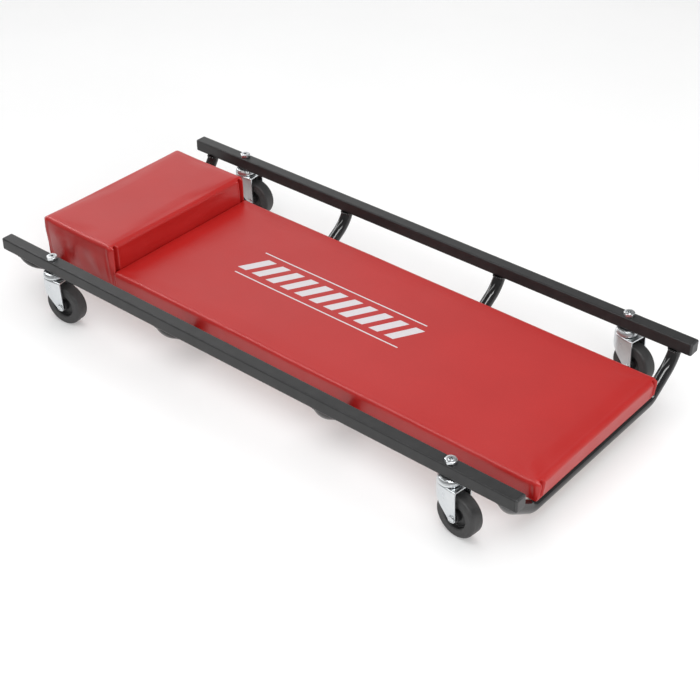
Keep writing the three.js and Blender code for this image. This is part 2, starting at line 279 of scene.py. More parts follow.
def loft(name, rings, closed_ends=True):
    """A skin over rings of points that all have the same number of points."""
    count = len(rings[0])
    vertices = [point for ring in rings for point in ring]
    faces = []
    for k in range(len(rings) - 1):
        for i in range(count):
            j = (i + 1) % count
            faces.append((k * count + i, k * count + j, (k + 1) * count + j, (k + 1) * count + i))
    if closed_ends:
        faces.append(tuple(reversed(range(count))))
        faces.append(tuple(range((len(rings) - 1) * count, len(rings) * count)))
    return tidy(new_piece(name, vertices, faces))


def upright(name, radius, x, y, low, high, sides=32):
    """An upright round bar."""
    circle = [(x + radius * math.cos(angle), y + radius * math.sin(angle)) for angle in turns(sides)]
    return loft(name, [[(*point, z) for point in circle] for z in (low, high)])


def rounded_rectangle(width, height, radius, steps=5):
    outline = []
    for i, (right, up) in enumerate(((1, -1), (1, 1), (-1, 1), (-1, -1))):
        centre = (right * (width / 2 - radius), up * (height / 2 - radius))
        for k in range(steps + 1):
            angle = math.pi / 2 * (i - 1 + k / steps)
            outline.append((centre[0] + radius * math.cos(angle), centre[1] + radius * math.sin(angle)))
    return outline


# ---- materials

class Finish:
    """A node material with its shader, and short ways to add nodes to it."""

    def __init__(self, name):
        self.material = bpy.data.materials.new(name)
        self.material.use_nodes = True
        self.tree = self.material.node_tree
        self.shader = self.tree.nodes["Principled BSDF"]
        self.place = self.node("ShaderNodeTexCoord").outputs["Object"]

    def node(self, kind, **settings):
        made = self.tree.nodes.new(kind)
        for key, value in settings.items():
            setattr(made, key, value)
        return made

    def link(self, source, target):
        self.tree.links.new(source, target)

    def noise(self, scale, detail=4, roughness=0.55, stretch=(1, 1, 1)):
        mapping = self.node("ShaderNodeMapping")
        mapping.inputs["Scale"].default_value = stretch
        self.link(self.place, mapping.inputs["Vector"])
        made = self.node("ShaderNodeTexNoise")
        made.inputs["Scale"].default_value = scale
        made.inputs["Detail"].default_value = detail
        made.inputs["Roughness"].default_value = roughness
        self.link(mapping.outputs["Vector"], made.inputs["Vector"])
        return made.outputs["Fac"]

    def cells(self, scale, feature="F1"):
        made = self.node("ShaderNodeTexVoronoi", feature=feature)
        made.inputs["Scale"].default_value = scale
        self.link(self.place, made.inputs["Vector"])
        return made.outputs["Distance"]

    def ramp(self, source, low, high, from_low=0.3, from_high=0.7):
        made = self.node("ShaderNodeMapRange")
        made.inputs["From Min"].default_value = from_low
        made.inputs["From Max"].default_value = from_high
        made.inputs["To Min"].default_value = low
        made.inputs["To Max"].default_value = high
        self.link(source, made.inputs["Value"])
        return made.outputs["Result"]

    def math(self, operation, first, second=0.0):
        made = self.node("ShaderNodeMath", operation=operation)
        for socket, value in zip(made.inputs, (first, second)):
            if isinstance(value, (int, float)):
                socket.default_value = value
            else:
                self.link(value, socket)
        return made.outputs["Value"]

    def mix(self, share, first, second):
        """Two colours mixed. The node has sockets for every kind of value: A and B of the colours
        are inputs 6 and 7, and their result is output 2."""
        made = self.node("ShaderNodeMix", data_type="RGBA")
        self.link(share, made.inputs["Factor"])
        for socket, value in ((made.inputs[6], first), (made.inputs[7], second)):
            if isinstance(value, tuple):
                socket.default_value = (*value, 1)
            else:
                self.link(value, socket)
        return made.outputs[2]

    def clouds(self, scale, dark, pale):
        """Two shades of a colour in soft clouds."""
        return self.mix(self.ramp(self.noise(scale), 0, 1), dark, pale)

    def bump(self, height, strength, distance, under=None):
        made = self.node("ShaderNodeBump")
        made.inputs["Strength"].default_value = strength
        made.inputs["Distance"].default_value = distance
        self.link(height, made.inputs["Height"])
        if under:
            self.link(under, made.inputs["Normal"])
        return made.outputs["Normal"]

    def wear(self, color, roughness, normal, metallic=0.0):
        """Hands the finished colour, roughness and bump to the shader."""
        self.link(color, self.shader.inputs["Base Color"])
        self.link(roughness, self.shader.inputs["Roughness"])
        self.link(normal, self.shader.inputs["Normal"])
        self.shader.inputs["Metallic"].default_value = metallic
        return self.material


def frame_paint():
    """Black powder coat: a faint orange peel, and cloudy gloss."""
    f = Finish("frame_paint")
    color = f.clouds(60, (0.020, 0.020, 0.0205), (0.028, 0.028, 0.0285))
    peel = f.bump(f.noise(700, 2), 0.10, 0.3 * MM)
    f.shader.inputs["Specular IOR Level"].default_value = 0.36
    return f.wear(color, f.ramp(f.noise(35, 6), 0.30, 0.38), peel)


def tube_paint_shade_darkened():
    """The same coat on the bent tubes, where it has flowed out glossier. Its black is painted darker than
    the rails' coat, as painted shade for the shadow under the pad.
    """
    f = Finish("tube_paint_shade_darkened")
    # Painted shade: a darker black than the rails' coat, standing in for the shadow the tubes lie in under
    # the pad.
    color = f.clouds(60, (0.011, 0.011, 0.0115), (0.017, 0.017, 0.0175))
    peel = f.bump(f.noise(260, 2), 0.08, 0.4 * MM)
    f.shader.inputs["Specular IOR Level"].default_value = 0.42
    return f.wear(color, f.ramp(f.noise(50, 6), 0.09, 0.15), peel)


def cap_plastic():
    """Moulded plastic with a fine spark."""
    f = Finish("cap_plastic")
    color = f.clouds(90, (0.026, 0.026, 0.027), (0.036, 0.036, 0.037))
    spark = f.bump(f.noise(2400, 2), 0.18, 0.12 * MM)
    return f.wear(color, f.ramp(f.noise(120), 0.36, 0.46), spark)


PRINT_CENTRE = (-13 * MM, 6 * MM)
PRINT_LENGTH = 300 * MM
PRINT_BAND = 42 * MM
PRINT_BARS = 11
PRINT_SLANT = 0.55
BAR_SHARE = 0.58
STRIPE_OFFSET = 33 * MM
STRIPE_WIDTH = 2.2 * MM


def bar_print(f):
    """The mask of a plain print: slanted bars between two thin stripes. It is 1 where there is ink."""
    split = f.node("ShaderNodeSeparateXYZ")
    f.link(f.place, split.inputs["Vector"])
    x = f.math("SUBTRACT", split.outputs["X"], PRINT_CENTRE[0])
    y = f.math("SUBTRACT", split.outputs["Y"], PRINT_CENTRE[1])
    blur = 0.25 * MM
    on_top_from = main_high.z - 12 * MM
    on_top_to = main_high.z - 10 * MM

    def inside(distance, limit):
        return f.ramp(distance, 1, 0, limit - blur, limit + blur)

    across = f.math("ABSOLUTE", y)
    slid = f.math("SUBTRACT", x, f.math("MULTIPLY", y, PRINT_SLANT))
    pitch = PRINT_LENGTH / PRINT_BARS
    turn = f.math("FRACT", f.math("DIVIDE", f.math("ADD", slid, PRINT_LENGTH / 2), pitch))
    from_bar = f.math("MULTIPLY", f.math("ABSOLUTE", f.math("SUBTRACT", turn, 0.5)), pitch)
    bars = f.math("MULTIPLY", inside(from_bar, BAR_SHARE * pitch / 2), inside(across, PRINT_BAND / 2))
    bars = f.math("MULTIPLY", bars, inside(f.math("ABSOLUTE", slid), PRINT_LENGTH / 2 - pitch / 5))
    from_stripe = f.math("ABSOLUTE", f.math("SUBTRACT", across, STRIPE_OFFSET))
    along = f.math("ABSOLUTE", x)
    stripes = f.math("MULTIPLY", inside(from_stripe, STRIPE_WIDTH / 2), inside(along, PRINT_LENGTH / 2))
    on_top = f.ramp(split.outputs["Z"], 0, 1, on_top_from, on_top_to)
    return f.math("MULTIPLY", f.math("MAXIMUM", bars, stripes), on_top)


def vinyl(name, with_print):
    """Red upholstery vinyl: fine pebbled grain, soft gloss, and slow changes in the red."""
    f = Finish(name)
    red = f.mix(f.ramp(f.noise(9, 3), 0, 1), (0.430, 0.0115, 0.0095), (0.470, 0.0135, 0.0115))
    red = f.mix(f.ramp(f.noise(900, 2), 0, 0.35), red, (0.34, 0.010, 0.010))
    roughness = f.ramp(f.noise(14, 5), 0.33, 0.41)
    grain = f.bump(f.cells(1300, "SMOOTH_F1"), 0.16, 0.22 * MM)
    grain = f.bump(f.noise(420, 3), 0.10, 0.3 * MM, grain)
    if with_print:
        ink = bar_print(f)
        worn = f.math("MULTIPLY", ink, f.ramp(f.noise(1100, 3), 0.86, 1, 0.25, 0.5))
        red = f.mix(worn, red, (0.64, 0.61, 0.63))
        grain = f.bump(ink, 0.25, 0.08 * MM, grain)
    return f.wear(red, roughness, grain)


def plywood():
    """Plywood: long grain on the faces, and stacked plies on the edges."""
    f = Finish("plywood")
    grain = f.noise(60, 8, 0.6, stretch=(0.12, 1.6, 1))
    color = f.mix(f.ramp(grain, 0, 1, 0.35, 0.65), (0.36, 0.205, 0.095), (0.56, 0.37, 0.19))
    plies = f.noise(420, 1, 0.5, stretch=(0.01, 0.01, 1))
    color = f.mix(f.ramp(plies, 0, 0.5, 0.45, 0.55), color, (0.30, 0.16, 0.07))
    roughness = f.ramp(f.noise(200), 0.62, 0.8)
    return f.wear(color, roughness, f.bump(grain, 0.3, 0.3 * MM))


def zinc():
    """Bright zinc plating: a cloudy shine with faint drawn streaks."""
    f = Finish("zinc")
    cloud = f.noise(45, 3)
    color = f.mix(f.ramp(cloud, 0, 1), (0.62, 0.65, 0.67), (0.74, 0.76, 0.77))
    streak = f.noise(300, 3, 0.6, stretch=(1, 1, 0.08))
    roughness = f.math("ADD", f.ramp(cloud, 0.25, 0.31), f.ramp(streak, 0, 0.04))
    return f.wear(color, roughness, f.bump(streak, 0.02, 0.04 * MM), metallic=1.0)


def steel():
    f = Finish("steel")
    scratch = f.noise(500, 4, 0.6, stretch=(1, 1, 0.2))
    color = f.mix(f.ramp(scratch, 0, 1), (0.36, 0.37, 0.39), (0.52, 0.53, 0.55))
    return f.wear(color, f.ramp(scratch, 0.28, 0.4), f.bump(scratch, 0.15, 0.1 * MM), metallic=1.0)


def hub_plastic():
    f = Finish("hub_plastic")
    color = f.clouds(150, (0.012, 0.012, 0.013), (0.020, 0.020, 0.021))
    return f.wear(color, f.ramp(f.noise(90), 0.34, 0.48), f.bump(f.noise(1500, 2), 0.12, 0.1 * MM))


def tyre_rubber():
    """Hard dark rubber, a little dusty, with a fine moulded matt."""
    f = Finish("tyre_rubber")
    dust = f.noise(110, 6, 0.65)
    color = f.mix(f.ramp(dust, 0, 1), (0.026, 0.026, 0.027), (0.045, 0.044, 0.044))
    roughness = f.ramp(dust, 0.46, 0.60)
    return f.wear(color, roughness, f.bump(f.noise(1700, 3), 0.2, 0.12 * MM))


def pale_floor():
    """A white studio table, lit a little from inside so that shadows stay pale."""
    f = Finish("pale_floor")
    color = f.clouds(3, (0.74, 0.74, 0.74), (0.76, 0.76, 0.76))
    f.shader.inputs["Emission Color"].default_value = (1, 1, 1, 1)
    f.shader.inputs["Emission Strength"].default_value = 0.22
    return f.wear(color, f.ramp(f.noise(5), 0.6, 0.7), f.bump(f.noise(300), 0.02, 0.1 * MM))


MATERIALS = {
    "frame_paint": frame_paint(),
    "tube_paint_shade_darkened": tube_paint_shade_darkened(),
    "cap_plastic": cap_plastic(),
    "vinyl": vinyl("vinyl", False),
    "vinyl_printed": vinyl("vinyl_printed", True),
    "plywood": plywood(),
    "zinc": zinc(),
    "steel": steel(),
    "hub_plastic": hub_plastic(),
    "tyre_rubber": tyre_rubber(),
}


def place(piece, body, material, replaces=()):
    piece.data.materials.clear()
    piece.data.materials.append(MATERIALS[material])
    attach(piece, body)
    if replaces:
        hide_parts(*replaces)


# ---- rails, caps and cross tubes

def rail(side):
    node = f"rail_{side}"
    low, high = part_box(node)
    centre = middle(node)
    outer = rounded_rectangle(RAIL_SIZE, RAIL_SIZE, RAIL_CORNER)
    inner = rounded_rectangle(RAIL_SIZE - 2 * RAIL_WALL, RAIL_SIZE - 2 * RAIL_WALL, MM)

    def section(outline, x):
        return [(x, centre.y + y, centre.z + z) for y, z in outline]

    rings = [section(outer, low.x), section(outer, high.x), section(inner, high.x), section(inner, low.x)]
    tube = loft("tube", [*rings, rings[0]], closed_ends=False)
    stem_xs = [middle(f"caster_{end}_{side}_kingpin").x for end in ENDS]
    bores = [upright("bore", STEM_BORE, x, centre.y, low.z - MM, high.z + MM) for x in stem_xs]
    carve(tube, *bores)
    tube.name = f"side_rail_{side}"
    soften(tube, 0.25 * MM, 60)
    place(tube, "frame", "frame_paint", replaces=[node])


def rounded_box(name, low, high, radius, steps=4):
    """A box with all its edges rounded."""
    def lines(a, b):
        return [*np.linspace(a, a + radius, steps), *np.linspace(b - radius, b, steps)]

    radii = (radius, radius, radius)
    return box_of_lines(name, low, high, lambda point: radii, [lines(low[i], high[i]) for i in range(3)])


def box_of_lines(name, low, high, radii, lines):
    """A box whose faces are ruled by the given lines along x, y and z, with its edges rounded by the
    three radii that the function gives for a point."""
    low = Vector(low)
    high = Vector(high)
    index = {}
    vertices = []

    def corner(i, j, k):
        key = (i, j, k)
        if key not in index:
            index[key] = len(vertices)
            vertices.append(Vector((lines[0][i], lines[1][j], lines[2][k])))
        return index[key]

    faces = []
    last = [len(line) - 1 for line in lines]
    for axis in range(3):
        u, v = [a for a in range(3) if a != axis]
        for end in (0, last[axis]):
            for a in range(last[u]):
                for b in range(last[v]):
                    face = []
                    for da, db in ((0, 0), (1, 0), (1, 1), (0, 1)):
                        place_of = [0, 0, 0]
                        place_of[axis] = end
                        place_of[u] = a + da
                        place_of[v] = b + db
                        face.append(corner(*place_of))
                    faces.append(tuple(face))
    rounded = []
    for point in vertices:
        r = Vector(radii(point))
        inner = Vector([min(max(point[a], low[a] + r[a]), high[a] - r[a]) for a in range(3)])
        out = Vector([(point[a] - inner[a]) / r[a] for a in range(3)])
        out.normalize()
        rounded.append(inner + Vector([out[a] * r[a] for a in range(3)]))
    return tidy(new_piece(name, rounded, faces))


def rail_cap(end, side):
    node = f"rail_cap_{end}_{side}"
    low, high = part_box(node)
    outward = 1 if end == "foot" else -1
    face = high.x if end == "foot" else low.x
    seat = face - outward * CAP_FLANGE
    centre = middle(node)
    # Only the outer face is rounded: the block's other rounded end lies beyond the seat.
    hidden = seat - outward * 2 * CAP_EDGE
    block = rounded_box(
        "block", (min(face, hidden), low.y, low.z), (max(face, hidden), high.y, high.z), CAP_EDGE, 6)
    outline = rounded_rectangle(RAIL_SIZE, RAIL_SIZE, RAIL_CORNER, 6)
    flange = loft("flange", [
        [(x, centre.y + y, centre.z + z) for y, z in outline] for x in sorted((seat, face + outward * MM))])
    carve(flange, block, operation="INTERSECT")
    plug_half = RAIL_SIZE / 2 - RAIL_WALL - GAP
    plug_ends = sorted((seat + outward * 0.5 * MM, seat - outward * PLUG_LENGTH))
    plug = rounded_box(
        "plug", (plug_ends[0], centre.y - plug_half, centre.z - plug_half),
        (plug_ends[1], centre.y + plug_half, centre.z + plug_half), 0.8 * MM)
    carve(flange, plug, operation="UNION")
    flange.name = f"end_cap_{end}_{side}"
    shade(flange, 50)
    place(flange, "frame", "cap_plastic", replaces=[node])


def tube_line():
    """The cross tube's middle line in (y, z), from the near rail to the far rail."""
    steps = 14

    def bend(radius, centre, first, last):
        angles = np.linspace(first, last, steps + 1)
        return [centre + radius * Vector((math.sin(angle), -math.cos(angle))) for angle in angles]

    end = Vector((TUBE_END_Y, RAIL_BOTTOM))
    upper_centre = end - UPPER_BEND_RADIUS * Vector((math.sin(TUBE_END_ANGLE), -math.cos(TUBE_END_ANGLE)))
    upper = bend(UPPER_BEND_RADIUS, upper_centre, TUBE_END_ANGLE, TUBE_LEG_ANGLE)
    leg_bottom_z = TUBE_LEVEL + LOWER_BEND_RADIUS * (1 - math.cos(TUBE_LEG_ANGLE))
    leg_bottom_y = upper[-1].x - (upper[-1].y - leg_bottom_z) / math.tan(TUBE_LEG_ANGLE)
    lower_y = leg_bottom_y - LOWER_BEND_RADIUS * math.sin(TUBE_LEG_ANGLE)
    lower = bend(LOWER_BEND_RADIUS, Vector((lower_y, TUBE_LEVEL + LOWER_BEND_RADIUS)), TUBE_LEG_ANGLE, 0)
    level = [Vector((lower_y * t, TUBE_LEVEL)) for t in (0.66, 0.33)]
    far = upper + lower + level
    near = [Vector((-point.x, point.y)) for point in far]
    return [*near, Vector((0, TUBE_LEVEL)), *reversed(far)]


def tube_rings(x, radius, sides=40):
    """Rings of points round the line, with both ends cut off level just under the rails."""
    line = tube_line()
    rings = []
    for i, point in enumerate(line):
        into = (point - line[i - 1]).normalized() if i > 0 else None
        out = (line[i + 1] - point).normalized() if i < len(line) - 1 else None
        along = ((into or out) + (out or into)).normalized()
        side = Vector((-along.y, along.x))
        ring = []
        for angle in turns(sides):
            y, z = point + side * radius * math.sin(angle)
            if into is None or out is None:
                shift = (RAIL_BOTTOM - GAP - z) / along.y
                y += along.x * shift
                z += along.y * shift
            ring.append((x + radius * math.cos(angle), y, z))
        rings.append(ring)
    return rings


def cross_tube(number):
    node = f"cross_tube_{number}"
    x = middle(node).x
    outer = tube_rings(x, TUBE_RADIUS)
    inner = tube_rings(x, TUBE_RADIUS - TUBE_WALL)
    tube = loft("tube", [*outer, *reversed(inner), outer[0]], closed_ends=False)
    holes = [
        upright("hole", SCREW_HOLE_RADIUS, x, middle(f"board_screw_{number}_{side}").y, 0, 2 * TUBE_LEVEL)
        for side in SIDES]
    carve(tube, *holes)
    tube.name = f"bent_tube_{number}"
    shade(tube, 50)
    place(tube, "frame", "tube_paint_shade_darkened", replaces=[node])


def weld_bead(number, side):
    """A rippled bead round the tube where it meets the rail."""
    x = middle(f"cross_tube_{number}").x
    outward = -1 if side == "near" else 1
    ripples = 26
    ripple_share = 0.16
    wander_share = 0.2
    stretch = 1 / math.sin(TUBE_END_ANGLE)
    seam_centre = Vector((x, outward * TUBE_END_Y, RAIL_BOTTOM - 0.6 * WELD_RADIUS))
    rings = []
    for angle in [*turns(96), 2 * math.pi]:
        out = Vector((math.cos(angle), outward * math.sin(angle) * stretch, 0))
        centre = seam_centre + out * TUBE_RADIUS
        wander = noise.noise(out * 2.3 + Vector((number, 0, 0)))
        swell = 1 + ripple_share * math.cos(ripples * angle) + wander_share * wander
        ring = []
        for turn in turns(8):
            offset = out.normalized() * math.cos(turn) + Vector((0, 0, math.sin(turn)))
            ring.append(centre + offset * WELD_RADIUS * swell)
        rings.append(ring)
    return loft("bead", rings, closed_ends=False)


def board_screw():
    """A pan-head screw pointing up, its head below z = 0."""
    profile = [
        (0, -2.5), (2.4, -2.4), (3.8, -1.6), (4.2, -0.4), (4.2, 0), (2, 0), (2, 22), (0, 25.5)]
    screw = lathe("screw", [(r * MM, z * MM) for r, z in eased(profile, 0.35, 2)], 32)
    slots = [
        rounded_box("slot", (-w * MM, -d * MM, -3 * MM), (w * MM, d * MM, -1.3 * MM), 0.2 * MM, 2)
        for w, d in ((2.3, 0.5), (0.5, 2.3))]
    carve(screw, *slots)
    return mesh_of(shade(screw, 40))


# ---- padding

def ruled(low, high, step, edge, fine=()):
    """Places of lines from low to high: close together in the edges and round the fine places,
    which are given as (centre, half width, spacing)."""
    closest = 0.25 * MM
    places = [*np.linspace(low, low + edge, 6), *np.linspace(high - edge, high, 6)]
    count = max(2, round((high - low - 2 * edge) / step))
    places += list(np.linspace(low + edge, high - edge, count + 1)[1:-1])
    for centre, half, spacing in fine:
        places = [p for p in places if abs(p - centre) > half or p in (low, high)]
        added = centre + np.arange(-half, half + spacing / 2, spacing)
        places += [p for p in added if low < p < high]
    places = sorted(places)
    kept = [places[0]]
    for p in places[1:]:
        if p - kept[-1] > closest:
            kept.append(p)
    kept[-1] = high
    return kept


def puffed(shape, low, high, cap):
    """Inflates a coarse copy of the shape with cloth, and gives the movement at any point."""
    frames = 20
    held_share = 0.12
    nearest = 12
    reach = 3 * MM
    coarse = piece_of("coarse", shape.data.copy())
    remesh = coarse.modifiers.new("remesh", "REMESH")
    remesh.mode = "VOXEL"
    remesh.voxel_size = 5 * MM
    settle(coarse)
    rest = np.array([v.co for v in coarse.data.vertices])
    held = coarse.vertex_groups.new(name="held")
    for v in coarse.data.vertices:
        up = (v.co.z - low.z) / (high.z - low.z)
        held.add([v.index], 1.0 if up < held_share else 0.0, "REPLACE")
    cloth = coarse.modifiers.new("cloth", "CLOTH")
    fabric = cloth.settings
    fabric.quality = 5
    fabric.mass = 0.3
    fabric.tension_stiffness = 25
    fabric.compression_stiffness = 25
    fabric.shear_stiffness = 12
    fabric.bending_stiffness = 2
    fabric.use_pressure = True
    fabric.uniform_pressure_force = 4
    fabric.effector_weights.gravity = 0
    fabric.vertex_group_mass = "held"
    cloth.point_cache.frame_start = 1
    cloth.point_cache.frame_end = frames
    scene = bpy.context.scene
    for step in range(1, frames + 1):
        scene.frame_set(step)
    settle(coarse)
    scene.frame_set(1)
    moved = np.array([v.co for v in coarse.data.vertices]) - rest
    length = np.linalg.norm(moved, axis=1, keepdims=True)
    moved *= cap * np.tanh(length / cap) / np.maximum(length, 1e-9)
    bpy.data.objects.remove(coarse)
    tree = kdtree.KDTree(len(rest))
    for i, point in enumerate(rest):
        tree.insert(point, i)
    tree.balance()

    def movement(point):
        total = Vector((0, 0, 0))
        weights = 0.0
        for _, i, distance in tree.find_n(point, nearest):
            weight = 1 / (distance * distance + reach ** 2)
            total += Vector(moved[i]) * weight
            weights += weight
        return total / weights

    return movement


def ridge(t, height, centre, width):
    """A smooth ridge, or a groove where the height is below 0."""
    return height * math.exp(-((t - centre) / width) ** 2)


def fold_depth(t):
    """How far a folded corner stands out, by the distance t past the fold towards the middle."""
    crease = ridge(t, -8 * MM, 0, 2.5 * MM)
    flap = ridge(t, 1.2 * MM, 4.0 * MM, 1.8 * MM)
    slope = 0.7 * MM * math.exp(-t / (22 * MM)) if t > 0 else 0
    wrapped = ridge(t, 2.0 * MM, -5.0 * MM, 2.4 * MM)
    return crease + flap + slope + wrapped


def smooth_step(value, low, high):
    t = min(max((value - low) / (high - low), 0), 1)
    return t * t * (3 - 2 * t)


def pad_box(name, low, high, joint_end):
    """The plain body of a pad, with close lines where corners are folded and where the hem ends."""
    joint_x = high.x if joint_end > 0 else low.x
    step = 8 * MM
    joint_edge = PAD_CORNER if joint_end > 0 else 2.2 * MM

    def radii(point):
        at_joint = abs(point.x - joint_x) < 10 * MM
        at_bottom = point.z < low.z + 8 * MM
        return (joint_edge if at_joint else PAD_CORNER, PAD_CORNER, 3 * MM if at_bottom else PAD_EDGE)

    fine_xs = [(x, MM, MM) for x in (low.x + HEM_WIDTH, high.x - HEM_WIDTH)]
    fine_xs += [(x, 4 * MM, MM) for x in (low.x + ROLL_INSET, high.x - ROLL_INSET)]
    fine_ys = [(side * (high.y - FOLD_INSET), 7 * MM, 0.7 * MM) for side in (-1, 1)]
    fine_ys += [(side * (high.y - HEM_WIDTH), MM, MM) for side in (-1, 1)]
    xs = ruled(low.x, high.x, step, PAD_CORNER, fine_xs)
    ys = ruled(low.y, high.y, step, PAD_CORNER, fine_ys)
    zs = ruled(low.z, high.z, 5 * MM, PAD_EDGE)
    return box_of_lines(name, low, high, radii, [xs, ys, zs])


def pad(name, low, high, joint_end, folded_ends, tucked, slack, material, replaces):
    """A covered foam pad. joint_end is the end (-1 or 1) that butts against the other pad, and
    the folded ends have a pleat at both corners, drawn on that end's face."""
    shape = pad_box(name, low, high, joint_end)
    movement = puffed(shape, low, high, PUFF_CAP)
    seed = Vector((joint_end * 7.3, 1.7, 3.1))
    centre = (low + high) / 2
    half = (high - low) / 2
    for v in shape.data.vertices:
        rest = v.co.copy()
        point = rest + (movement(rest) if movement else Vector((0, 0, 0)))
        up = (rest.z - low.z) / (high.z - low.z)
        off_x = abs(rest.x - centre.x)
        off_y = abs(rest.y - centre.y)
        end = math.copysign(1, rest.x - centre.x)
        side = math.copysign(1, rest.y)
        side_share = smooth_step(off_y, half.y - 4 * MM, half.y)
        end_share = smooth_step(off_x, half.x - 4 * MM, half.x)
        free_share = end_share if end != joint_end else 0
        # Pulled in under the board, by a staple line below.
        tuck = tucked * (1 - smooth_step(up, 0, 0.85))
        # Slack vinyl: upright puckers in the side faces, and slow waves in the top.
        wall = math.sin(math.pi * min(max(up, 0), 1)) ** 0.7
        pucker = noise.noise(Vector((rest.x * 26, rest.y * 26, rest.z * 11)) + seed)
        pucker += 0.5 * noise.noise(Vector((rest.x * 61, rest.y * 61, rest.z * 24)) + seed)
        proud = slack * abs(pucker) * wall
        point.y += side * (proud - tuck) * side_share
        point.x += end * (0.7 * proud - tuck) * free_share
        if up > 0.85:
            point.z += 0.5 * MM * noise.noise(rest * 9 + seed)
        # Folded corners: a pleat in the end face, and a faint groove round the side.
        if end in folded_ends:
            fade_in = smooth_step(up, 0.02, 0.12)
            pleat = fold_depth(half.y - FOLD_INSET - off_y)
            groove = ridge(half.x - ROLL_INSET - off_x, ROLL_DEPTH, 0, 2.8 * MM)
            point.x += end * pleat * fade_in * (1 - smooth_step(up, 0.93, 1.0)) * end_share
            point.y -= side * groove * fade_in * (1 - smooth_step(up, 0.88, 1.0)) * side_share
        # Below, the vinyl ends in a hem, and the board shows inside it.
        if up < 0.02:
            inside_x = rest.x > low.x + HEM_WIDTH if joint_end > 0 else rest.x < high.x - HEM_WIDTH
            inside = inside_x and abs(rest.y) < high.y - HEM_WIDTH
            point.z = board_bottom + MM if inside else low.z
        v.co = point
    smooth = shape.modifiers.new("smooth", "SUBSURF")
    smooth.levels = 1
    smooth.render_levels = 1
    settle(shape)
    for polygon in shape.data.polygons:
        polygon.use_smooth = True
    place(shape, "frame", material, replaces=replaces)


def board(node):
    """A plywood board, its corners rounded off enough to leave room for the folded vinyl."""
    low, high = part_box(node)
    centre = middle(node)
    outline = rounded_rectangle(
        high.x - low.x - 2 * BOARD_TRIM, high.y - low.y - 2 * BOARD_TRIM, BOARD_CORNER, 10)
    sheet = loft("sheet", [[(centre.x + x, centre.y + y, z) for x, y in outline] for z in (low.z, high.z)])
    soften(sheet, 0.4 * MM, 60)
    sheet.name = f"plywood_{node}"
    place(sheet, "frame", "plywood", replaces=[node])


def staples():
    """Upholstery staples through the hem, under the board."""
    pieces = []
    spacing = 38 * MM
    inset = 18 * MM
    depth = 0.5 * MM

    def staple(x, y, half_x, half_y):
        from_tube = min(abs(x - tube) for tube in TUBE_XS) - half_x
        if from_tube > TUBE_RADIUS + MM:
            low = (x - half_x, y - half_y, main_low.z - depth)
            high = (x + half_x, y + half_y, main_low.z + depth)
            pieces.append(rounded_box("staple", low, high, 0.3 * MM, 2))

    long, thin = (5 * MM, 0.55 * MM)
    first = head_low.x + inset
    run = main_high.x - inset - first
    count = int(run / spacing)
    for i in range(count + 1):
        for side in (-1, 1):
            staple(first + run * i / count, side * (main_high.y - inset), long, thin)
    for x in (head_low.x + inset / 2, main_high.x - inset / 2):
        for i in range(-2, 3):
            staple(x, i * 45 * MM, thin, long)
    piece = joined("hem_staples", pieces)
    shade(piece, 50)
    place(piece, "frame", "steel")


# ---- casters
# Stem pieces are drawn about the stem with z from the floor, wheel pieces about the axle along z.

def stem_nut():
    """A hexagon nut whose top corners are turned down to a round face."""
    face = 0.93 * NUT_HALF_WIDTH
    corner = 1.11 * NUT_HALF_WIDTH
    bore = STEM_RADIUS + GAP
    edge = 0.35 * MM
    angles = turns(72)

    def hexagon(angle):
        from_flat = (angle + math.pi / 6) % (math.pi / 3) - math.pi / 6
        return min(NUT_HALF_WIDTH / math.cos(from_flat), corner)

    def round_ring(radius, z):
        return [(radius * math.cos(angle), radius * math.sin(angle), z) for angle in angles]

    def hexagon_ring(inset, z, fall=0.0):
        ring = []
        for angle in angles:
            reach = hexagon(angle) - inset
            below = fall * (hexagon(angle) - face)
            ring.append((reach * math.cos(angle), reach * math.sin(angle), z - below))
        return ring

    rings = [
        round_ring(bore, nut_low.z), hexagon_ring(edge, nut_low.z),
        hexagon_ring(0, nut_low.z + edge), hexagon_ring(0, nut_high.z, 1.1),
        hexagon_ring(edge, nut_high.z, 0.5), round_ring(face - edge, nut_high.z),
        round_ring(bore, nut_high.z)]
    return mesh_of(shade(loft("nut", [*rings, rings[0]], closed_ends=False), 50))


def kingpin():
    """The caster's stem: a rivet head below the crown, a plain shank, a threaded and hollow end."""
    head_top = CROWN_TOP - SHEET - GAP
    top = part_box("caster_foot_near_kingpin")[1].z
    pitch = 1.25 * MM
    profile = [
        (0, head_top - 3 * MM), (5 * MM, head_top - 3 * MM), (6.5 * MM, head_top - 1.6 * MM),
        (6.5 * MM, head_top), (STEM_RADIUS, head_top)]
    z = RAIL_TOP - 4 * MM
    while z < top - 1.4 * MM:
        profile += [(STEM_RADIUS, z), (STEM_RADIUS - 0.5 * MM, z + pitch / 2)]
        z += pitch
    profile += [
        (STEM_RADIUS, top - 0.9 * MM), (STEM_RADIUS - 0.1 * MM, top - 0.3 * MM),
        (STEM_RADIUS - 0.5 * MM, top), (2.3 * MM, top), (2.1 * MM, top - 6 * MM), (0, top - 7.2 * MM)]
    return mesh_of(shade(lathe("kingpin", profile, 40), 32))


def top_race():
    """The domed cap over the balls, pressed from sheet, its rim turned out a little."""
    roof = race_high.z
    floor = race_low.z
    inner_roof = roof - 2.1 * MM
    profile = [
        (STEM_RADIUS + GAP, inner_roof), (12.6 * MM, inner_roof), (13.9 * MM, inner_roof - 1.6 * MM),
        (14.4 * MM, floor), (16.5 * MM, floor), (16.3 * MM, floor + 2.4 * MM), (15.6 * MM, floor + 4.4 * MM),
        (14.2 * MM, roof - 0.9 * MM), (12 * MM, roof), (STEM_RADIUS + GAP, roof)]
    return mesh_of(shade(lathe("race", eased(profile, 1.2 * MM, 4), 72), 45))


